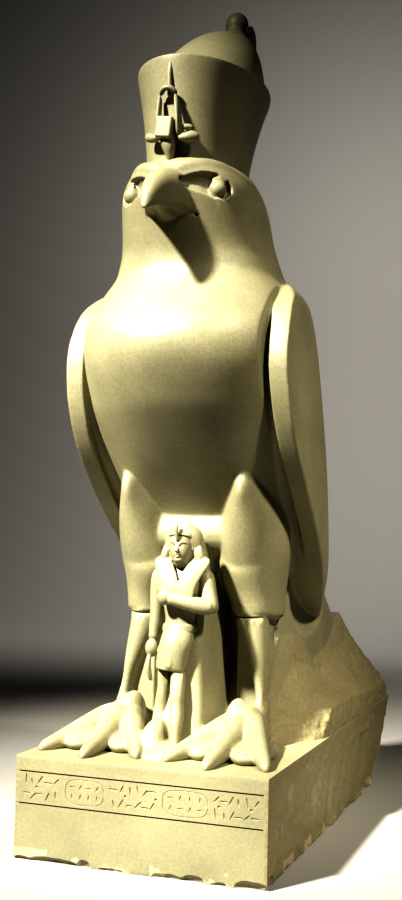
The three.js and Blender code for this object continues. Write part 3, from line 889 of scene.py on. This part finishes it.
kingHeadForm = {
    "shift": 2.4,
    "skull": [
        [0, 3, 146, 6.8, 7], [0, 1.5, 150, 7.2, 7.6], [0, -0.5, 153.4, 7.6, 8.6],
        [0, -1.6, 157, 8.6, 9.6], [0, -1.6, 161, 9.3, 10], [0, -1.2, 165, 9.5, 10], [0, 0, 170, 9, 9.6],
        [0, 2, 175, 6, 7],
    ],
    "cloth": [
        [0, 6, 148, 15.6, 6.6], [0, 6, 152, 16.8, 8], [0, 5.8, 158, 16.8, 9.6],
        [0, 5.2, 164, 16.4, 11.6], [0, 4.8, 170, 15.2, 12.8], [0, 4.6, 175, 12.6, 12],
        [0, 5, 178.2, 8.4, 8.8], [0, 6, 179.6, 3.4, 4.5],
    ],
    "band": [
        [0, 0, 167.4, 10.4, 11.4], [0, 0, 168, 10.9, 11.9], [0, 0.4, 170.4, 10.9, 11.9],
        [0, 0.6, 171, 10.2, 11.2],
    ],
    "wing": [
        [11.6, 4, 165, 3.6, 6.6], [13.4, 3.6, 158, 4.4, 6.8], [14.8, 3.2, 152, 4.6, 6],
        [16, 2.4, 147.6, 3.4, 4.4],
    ],
    "lappet": [
        [18.4, 4, 153.4, 5, 3], [17.4, 1.4, 151, 7, 3.2], [14, -2.6, 145.6, 7.6, 3],
        [10.6, -5.6, 139.6, 7.8, 2.8], [8, -7.6, 133.4, 7.8, 2.6], [6.6, -8.6, 127.4, 7.6, 2.4],
        [6.2, -8.8, 122.6, 7.2, 2.2], [6.2, -8.4, 121.4, 6.4, 1.6],
    ],
    "serpent": [
        [0, -10.4, 180, 1, 1.2], [0, -13.6, 178.4, 1.5, 1.5], [0, -13.8, 174, 1.3, 1.4],
        [0, -12.4, 169.4, 1.5, 1.3], [0, -11.4, 166, 1, 1],
    ],
    "nose": [
        [0, -10.6, 163.2, 0.9, 0.8], [0, -12, 161, 1.2, 1.2], [0, -13.2, 158.8, 1.7, 1.5],
        [0, -12.2, 157.4, 1.5, 1.0],
    ],
    "browLine": [[1.6, -11.2, 164.6, 0.6, 0.7], [4.4, -10.4, 165.4, 0.6, 0.8], [7, -8, 164.4, 0.5, 0.7]],
    "eyeHollow": (3.7, -11.6, 162.2, 2.6, 2.2, 1.5),
    "eyeBall": (3.7, -8.5, 162, 2.2, 2, 1.3),
    "upperLip": [[-2.7, -10.6, 155.5, 0.5, 0.6], [0, -12, 155.9, 0.7, 0.9], [2.7, -10.6, 155.5, 0.5, 0.6]],
    "lowerLip": [[-2.3, -10.4, 154.3, 0.5, 0.6], [0, -11.7, 154, 0.8, 0.9], [2.3, -10.4, 154.3, 0.5, 0.6]],
    "chin": (0, -8.4, 151.6, 3.4, 3, 2.4),
    "ear": (9.6, -1.2, 160.6, 1.5, 2.4, 3.4),
}


def headPoint(x, *numbers):
    return kingPoint(x + kingHeadForm["shift"], *numbers)


def headLimb(part, around=10, levels=2, side=(1, 0, 0)):
    return limb(part, [headPoint(*row) for row in kingHeadForm[part]], around, levels, side)


def headBall(part):
    return ball(part, *headPoint(*kingHeadForm[part]))


def makeKingHead():
    middle = headPoint(0, 0, 0)[0]
    skull = headLimb("skull", around=16)
    onBothSides(skull, headBall("eyeHollow"), "DIFFERENCE", middle)
    forms = [skull, headLimb("cloth", around=16), headLimb("band", around=16), headBall("chin")]
    forms += [headLimb("serpent"), headLimb("nose")]
    forms += [headLimb(part, around=8, side=(0, 0, 1)) for part in ("upperLip", "lowerLip")]
    paired = [headLimb("wing"), headLimb("lappet", side=(1, 0, -0.4)), headBall("eyeBall"), headBall("ear")]
    paired.append(headLimb("browLine", around=8, side=(0, 0, 1)))
    forms += paired + [mirroredCopy(form, middle) for form in paired]
    return melted("kingHead", forms, grain=0.36, soften=4)


plinthForm = {
    "halfWidth": 100,
    "front": -212.5,
    "back": 235.1,
    "bottom": -5.04,
    "top": 72.5,
    "grid": 3.0,
    "rearStart": 120,
    "rear": [(-5.04, 145.5), (29.9, 199.3), (55.4, 226.1), (72.5, 235.1)],
    "wear": 1.0,
    "frontRamp": 16,
    "topRamp": 12,
    "rearDepth": 60,
    "coarse": (26, 3, 3.52, 0.78),
    "fine": (7, 2, 1.54, 0.85),
    "flaked": (9, 3, 3.2, 0.5),
    "chips": [
        (-66, 46, 4.0, 4.4), (-93, 15, 3.0, 3.4), (-42, 12, 3.0, 6.0), (-20, 20, 2.0, 2.0),
        (26, 26, 2.6, 3.4), (44, 20, 3.4, 4.6), (64, 12, 2.0, 2.2), (88, 26, 4.0, 6.2),
    ],
    "sideChips": [
        (-202, 18, 5, 8), (-158, 30, 2.4, 4), (-96, 26, 2.4, 3.4), (-28, 26, 3, 7), (50, 34, 3.4, 6),
        (128, 40, 4, 7),
    ],
    "band": (37, 61),
    "ovals": [(-42.5, 15.5), (37.4, 17.5)],
    "ovalHalfHeight": 9.2,
    "columns": 31,
    "rowEnd": 91,
    "rowRise": 5.2,
    "clearance": 3.4,
    "edgeGap": 3.5,
    "lineWidth": 0.8,
    "lineDepth": 0.5,
    "strokeDepth": 0.9,
}


def rearAt(z):
    rows = plinthForm["rear"]
    for (lowZ, lowY), (highZ, highY) in zip(rows, rows[1:]):
        if z <= highZ:
            return lowY + (highY - lowY) * (z - lowZ) / (highZ - lowZ)
    return rows[-1][1]


# a cube sliced into a grid, its rear drawn in row by row
def makeBlock():
    form = plinthForm
    low = (-form["halfWidth"], form["front"], form["bottom"])
    high = (form["halfWidth"], form["back"], form["top"])
    block = box("plinth", low, high)
    edit(block)
    for axis in range(3):
        normal = [0, 0, 0]
        normal[axis] = 1
        count = int((high[axis] - low[axis]) / form["grid"])
        for step in range(1, count):
            middle = list(low)
            middle[axis] += (high[axis] - low[axis]) * step / count
            bpy.ops.mesh.select_all(action="SELECT")
            bpy.ops.mesh.bisect(plane_co=place(*middle), plane_no=normal)
    bpy.ops.mesh.select_mode(type="VERT")
    mesh = bmesh.from_edit_mesh(block.data)
    start = place(0, form["rearStart"], 0).y
    rows = {}
    for vert in mesh.verts:
        rows.setdefault(round(vert.co.z, 6), []).append(vert)
    for level, verts in rows.items():
        z = level / unit - drawing["lift"]
        squeeze = (rearAt(z) - form["rearStart"]) / (form["back"] - form["rearStart"])
        bpy.ops.mesh.select_all(action="DESELECT")
        for vert in verts:
            vert.select = vert.co.y > start
        bpy.ops.transform.resize(value=(1, squeeze, 1), center_override=(0, start, 0))
    return facedOut(block)


# the sides and the rear are left rough from the hammer, the face and the top are smooth
def roughened(block):
    form = plinthForm
    rough = block.vertex_groups.new(name="rough")
    front, top = place(0, form["front"], form["top"]).y, place(0, 0, form["top"]).z
    side, back = form["halfWidth"] * unit, place(0, form["back"], 0).y
    for vert in block.data.vertices:
        fromFront = (vert.co.y - front) / unit
        fromTop = (top - vert.co.z) / unit
        share = ramped(fromFront / form["frontRamp"]) * ramped(fromTop / form["topRamp"])
        onSide = abs(vert.co.x) > side - 0.1 * unit or vert.co.y > back - form["rearDepth"] * unit
        rough.add([vert.index], share if onSide else 0, "REPLACE")
    for name in ("coarse", "fine"):
        dented(block, name, *form[name], group="rough")
    return block


def flakes(places, along):
    form = plinthForm
    made = []
    for spot, length, deep, high in places:
        if along == "front":
            middle, size = (spot, form["front"], form["bottom"]), (length / 2, deep, high)
        else:
            middle, size = (form["halfWidth"], spot, form["bottom"]), (deep, length / 2, high)
        made.append(dented(ball("flake", *middle, *size, around=32), "flake", *form["flaked"]))
    return made


# a slanting cut with rounded ends, like a stroke of the chisel
def stroke(x, z, length, width, lean, deep):
    face = plinthForm["front"]
    cut = ball("stroke", 0, 0, 0, width / 2, deep, length / 2, around=12)
    pick(cut)
    bpy.ops.transform.translate(value=-place(0, 0, 0))
    bpy.ops.transform.rotate(value=lean, orient_axis="Y", center_override=(0, 0, 0))
    bpy.ops.transform.translate(value=place(x, face, z))
    return settled()


# an upright oval line
def ovalLine(x, z, halfWide, halfHigh, around=48):
    form = plinthForm
    rings = []
    grow, deep = form["lineWidth"] / 2, form["lineDepth"]
    for step in range(around):
        angle = 2 * math.pi * step / around
        across, up = power(math.cos(angle), 0.62), power(math.sin(angle), 0.62)
        ring = []
        for side, out in ((-1, -1), (1, -1), (1, 0), (0, 1), (-1, 0)):
            y = form["front"] + deep * out
            ring.append(place(x + (halfWide + grow * side) * across, y, z + (halfHigh + grow * side) * up))
        rings.append(ring)
    return skinned("oval", rings, levels=0, hoop=True)


# shallow strokes and dots in two rows between the ruled lines, and smaller ones inside the ovals
def makeStrokes():
    form = plinthForm
    low, high = form["band"]
    middle = (low + high) / 2
    deep = form["strokeDepth"]
    cuts = []
    ovals = form["ovals"]
    count, end = form["columns"], form["rowEnd"]
    for i in range(count):
        x = -end + 2 * end * i / (count - 1)
        if any(abs(x - at) < half + form["clearance"] for at, half in ovals):
            continue
        for tier, z in enumerate((middle + form["rowRise"], middle - form["rowRise"])):
            turn = math.sin(i * 2.7 + tier * 1.9)
            tall = 3.2 + 2.6 * abs(math.cos(i * 1.3 + tier * 2.1))
            lean = 1.5 if turn > 0.72 else turn * 0.8
            shift = 0.8 * math.sin(i * 5.1 + tier)
            cuts.append(stroke(x + shift, z + math.cos(i * 3.3), tall * 1.5, 1.5, lean, deep))
        if i % 4 == 1:
            cuts.append(stroke(x + 2.7, middle + 0.6, 2.6, 2.4, 0, deep))
    for at, half in ovals:
        for column in range(4):
            for tier in (-1, 1):
                x = at + (column - 1.5) * half * 0.44
                turn = math.sin(column * 2.9 + tier + at)
                lean = 1.57 if turn > 0.5 else turn * 0.5
                cuts.append(stroke(x, middle + tier * 3.6, 4.6, 1.3, lean, deep * 0.8))
    return joinedAs("strokes", cuts)


def makePlinth():
    form = plinthForm
    block = roughened(makeBlock())
    applied(block, "BEVEL", width=form["wear"] * unit, segments=2, limit_method="ANGLE",
            angle_limit=math.radians(50))
    for flake in flakes(form["chips"], "front") + flakes(form["sideChips"], "side"):
        combined(block, flake, "DIFFERENCE")
    reach = form["halfWidth"] - form["edgeGap"]
    for z in form["band"]:
        half, deep = form["lineWidth"] / 2, form["lineDepth"]
        rows = [[x, form["front"], z, half, deep] for x in (-reach, 1 - reach, 0, reach - 1, reach)]
        combined(block, limb("line", rows, around=8, levels=0, side=(0, 0, 1)), "DIFFERENCE")
    for at, half in form["ovals"]:
        combined(block, ovalLine(at, sum(form["band"]) / 2, half, form["ovalHalfHeight"]), "DIFFERENCE")
    combined(block, makeStrokes(), "DIFFERENCE")
    return block


stoneLook = {
    "light": (0.30, 0.285, 0.185, 1),
    "dark": (0.215, 0.205, 0.13, 1),
    "hammered": (0.25, 0.215, 0.12, 1),
    "fresh": (0.62, 0.5, 0.32, 1),
    "roughness": (0.5, 0.8),
    "roughMix": 0.6,
    "freshMix": 0.5,
    "flaked": 0.56,
    "clouds": (14.0, 6.0, 0.55),
    "grain": (520.0, 3.0, 0.6),
    "knocks": (120.0, 5.0, 0.6),
    "flaking": (38.0, 3.0, 0.5),
    # places in metres: how far out, forward, up and low each finish begins or ends
    "skirt": {"out": 0.0608, "front": -0.108, "top": 0.166, "foot": 0.0775},
    "side": 0.0972,
    "freshTop": 0.009,
}


def addNode(tree, kind, **inputs):
    made = tree.nodes.new(kind)
    for name, value in inputs.items():
        made.inputs[name].default_value = value
    return made


def ramp(tree, source, stops):
    made = tree.nodes.new("ShaderNodeValToRGB")
    while len(made.color_ramp.elements) < len(stops):
        made.color_ramp.elements.new(0.5)
    for element, (position, color) in zip(made.color_ramp.elements, stops):
        element.position = position
        element.color = color
    tree.links.new(source, made.inputs["Fac"])
    return made.outputs["Color"]


def compared(tree, source, operation, limit):
    made = tree.nodes.new("ShaderNodeMath")
    made.operation = operation
    tree.links.new(source, made.inputs[0])
    if isinstance(limit, float):
        made.inputs[1].default_value = limit
    else:
        tree.links.new(limit, made.inputs[1])
    return made.outputs[0]


# where the stone was left rough: the outer sides, and the skirt round the legs and tail
def roughMask(tree, where):
    split = tree.nodes.new("ShaderNodeSeparateXYZ")
    tree.links.new(where, split.inputs[0])
    out = compared(tree, split.outputs["X"], "ABSOLUTE", 0.0)
    skirt = stoneLook["skirt"]
    mask = compared(tree, out, "GREATER_THAN", skirt["out"])
    for axis, operation, limit in (("Y", "GREATER_THAN", skirt["front"]), ("Z", "LESS_THAN", skirt["top"])):
        mask = compared(tree, mask, "MULTIPLY", compared(tree, split.outputs[axis], operation, limit))
    onTop = compared(tree, split.outputs["Z"], "GREATER_THAN", skirt["foot"])
    mask = compared(tree, mask, "MULTIPLY", onTop)
    side = compared(tree, out, "GREATER_THAN", stoneLook["side"])
    return compared(tree, mask, "MAXIMUM", side), split.outputs["Z"]


def blended(tree, mode, factor, first, second):
    made = tree.nodes.new("ShaderNodeMix")
    made.data_type, made.blend_type = "RGBA", mode
    for socket, value in (("Factor", factor), ("A", first), ("B", second)):
        if isinstance(value, (float, tuple)):
            made.inputs[socket].default_value = value
        else:
            tree.links.new(value, made.inputs[socket])
    return made.outputs["Result"]


def stoneMaterial(name):
    material = bpy.data.materials.new(name)
    material.use_nodes = True
    tree = material.node_tree
    link = tree.links.new
    shader = tree.nodes["Principled BSDF"]
    where = tree.nodes.new("ShaderNodeTexCoord").outputs["Object"]
    noises = []
    for name in ("clouds", "grain", "knocks", "flaking"):
        scale, detail, roughness = stoneLook[name]
        noise = addNode(tree, "ShaderNodeTexNoise", Scale=scale, Detail=detail, Roughness=roughness)
        link(where, noise.inputs["Vector"])
        noises.append(noise)
    cloud, grain, knocks, flaking = noises
    rough, height = roughMask(tree, where)
    tone = ramp(tree, cloud.outputs["Fac"], [(0.32, stoneLook["dark"]), (0.68, stoneLook["light"])])
    speck = ramp(tree, grain.outputs["Fac"], [(0.35, (0.86, 0.86, 0.86, 1)), (0.7, (1.08, 1.08, 1.06, 1))])
    hammeredShare = compared(tree, rough, "MULTIPLY", stoneLook["roughMix"])
    tone = blended(tree, "MIX", hammeredShare, tone, stoneLook["hammered"])
    chipped = compared(tree, height, "LESS_THAN", stoneLook["freshTop"])
    flaked = compared(tree, flaking.outputs["Fac"], "GREATER_THAN", stoneLook["flaked"])
    chipped = compared(tree, compared(tree, chipped, "MULTIPLY", flaked), "MULTIPLY", stoneLook["freshMix"])
    tone = blended(tree, "MIX", chipped, tone, stoneLook["fresh"])
    link(blended(tree, "MULTIPLY", 1.0, tone, speck), shader.inputs["Base Color"])
    fine = addNode(tree, "ShaderNodeBump", Strength=0.12, Distance=0.0004)
    link(grain.outputs["Fac"], fine.inputs["Height"])
    coarse = addNode(tree, "ShaderNodeBump", Distance=0.0016)
    link(rough, coarse.inputs["Strength"])
    link(knocks.outputs["Fac"], coarse.inputs["Height"])
    link(fine.outputs["Normal"], coarse.inputs["Normal"])
    link(coarse.outputs["Normal"], shader.inputs["Normal"])
    smooth, dull = stoneLook["roughness"]
    reach = addNode(tree, "ShaderNodeMapRange")
    reach.inputs["To Min"].default_value, reach.inputs["To Max"].default_value = smooth, dull
    link(rough, reach.inputs["Value"])
    link(reach.outputs["Result"], shader.inputs["Roughness"])
    return material


# the most triangles that each piece may have, with the function that makes it
pieces = []
for make, triangles in (
    (makeBird, 190000), (makeCrown, 60000), (makeCobra, 40000),
    (makeKing, 110000), (makeKingHead, 110000), (makePlinth, 190000),
):
    pieces.append(thinned(make(), triangles))

stone = stoneMaterial("stone")
for piece in pieces:
    piece.data.materials.clear()
    piece.data.materials.append(stone)
    pick(piece)
    if piece.name == "plinth":
        bpy.ops.object.shade_smooth_by_angle(angle=math.radians(35))
    else:
        bpy.ops.object.shade_smooth()
    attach(piece, "root")
    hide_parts("falcon_statue")


roomForm = {
    "halfWidth": 4.5, "front": -3.0, "wall": 2.4, "height": 3.6, "bend": 0.9, "color": (0.32, 0.315, 0.3, 1),
}


def makeRoom():
    form = roomForm
    deselected()
    bpy.ops.mesh.primitive_plane_add(size=2, location=(0, 0, cadLow.z - 0.0002))
    room = bpy.context.object
    room.name = "floor"
    edit(room)
    bpy.ops.mesh.select_all(action="SELECT")
    halfDepth, middleY = (form["wall"] - form["front"]) / 2, (form["wall"] + form["front"]) / 2
    bpy.ops.transform.resize(value=(form["halfWidth"], halfDepth, 1), center_override=(0, 0, 0))
    bpy.ops.transform.translate(value=(0, middleY, 0))
    bpy.ops.mesh.select_all(action="DESELECT")
    mesh = bmesh.from_edit_mesh(room.data)
    bpy.ops.mesh.select_mode(type="EDGE")
    for edge in mesh.edges:
        edge.select = all(vert.co.y > 0 for vert in edge.verts)
    bpy.ops.mesh.extrude_region_move(TRANSFORM_OT_translate={"value": (0, 0, form["height"])})
    pick(room)
    applied(room, "BEVEL", width=form["bend"], segments=16, limit_method="ANGLE")
    bpy.ops.object.shade_smooth()
    material = bpy.data.materials.new("paleRoom")
    material.use_nodes = True
    shader = material.node_tree.nodes["Principled BSDF"]
    shader.inputs["Base Color"].default_value = form["color"]
    shader.inputs["Roughness"].default_value = 0.9
    room.data.materials.append(material)
    return room


makeRoom()


lamps = [
    {"name": "key", "toward": (-0.296, -0.643, 0.706), "aim": (0, 0, 0.06), "distance": 2.4,
     "size": 0.16, "power": 4.2, "spread": 27, "color": (1.0, 0.95, 0.84)},
    {"name": "side", "toward": (0.57, -0.38, 0.73), "aim": (0, 0, 0.05), "distance": 2.4,
     "size": 0.2, "power": 0.66, "spread": 20, "color": (1.0, 0.92, 0.76)},
    {"name": "wall", "toward": (0.25, -0.85, 0.45), "aim": (-0.5, 2.2, 0.6), "distance": 1.4,
     "size": 1.0, "power": 14, "spread": 150, "color": (1.0, 0.96, 0.9)},
]
worldLight = {"color": (0.9, 0.88, 0.84, 1), "strength": 0.012}


def makeLamps():
    for lamp in lamps:
        toward = Vector(lamp["toward"]).normalized()
        light = bpy.data.lights.new(lamp["name"], "AREA")
        light.shape = "DISK"
        light.size = lamp["size"]
        light.energy = lamp["power"]
        light.spread = math.radians(lamp["spread"])
        light.color = lamp["color"]
        holder = bpy.data.objects.new(lamp["name"], light)
        holder.location = Vector(lamp["aim"]) + toward * lamp["distance"]
        holder.rotation_euler = toward.to_track_quat("Z", "Y").to_euler()
        bpy.context.scene.collection.objects.link(holder)
    world = bpy.data.worlds.new("room")
    world.use_nodes = True
    background = world.node_tree.nodes["Background"]
    background.inputs["Color"].default_value = worldLight["color"]
    background.inputs["Strength"].default_value = worldLight["strength"]
    bpy.context.scene.world = world


makeLamps()


cameraForm = {
    "x": 334.84, "y": -1016.15, "z": 253.71,
    "yaw": 0.347426, "pitch": 0.059779, "roll": 0.022028,
    "lens": 46.8, "sensor": 36,
}


def makeCamera():
    form = cameraForm
    yaw, pitch, roll = form["yaw"], form["pitch"], form["roll"]
    ahead = Vector((-math.sin(yaw) * math.cos(pitch), math.cos(yaw) * math.cos(pitch), math.sin(pitch)))
    right = Vector((math.cos(yaw), math.sin(yaw), 0))
    up = right.cross(ahead)
    turnedRight = right * math.cos(roll) + up * math.sin(roll)
    turnedUp = up * math.cos(roll) - right * math.sin(roll)
    data = bpy.data.cameras.new("camera")
    data.lens = form["lens"]
    data.sensor_width = form["sensor"]
    data.sensor_fit = "AUTO"
    camera = bpy.data.objects.new("camera", data)
    turn = Matrix((turnedRight, turnedUp, -ahead)).transposed().to_4x4()
    camera.matrix_world = Matrix.Translation(place(form["x"], form["y"], form["z"])) @ turn
    bpy.context.scene.collection.objects.link(camera)
    bpy.context.scene.camera = camera


makeCamera()
bpy.context.scene.view_settings.view_transform = "Standard"
bpy.context.scene.view_settings.look = "Very High Contrast"
print("room, lamps and camera done")
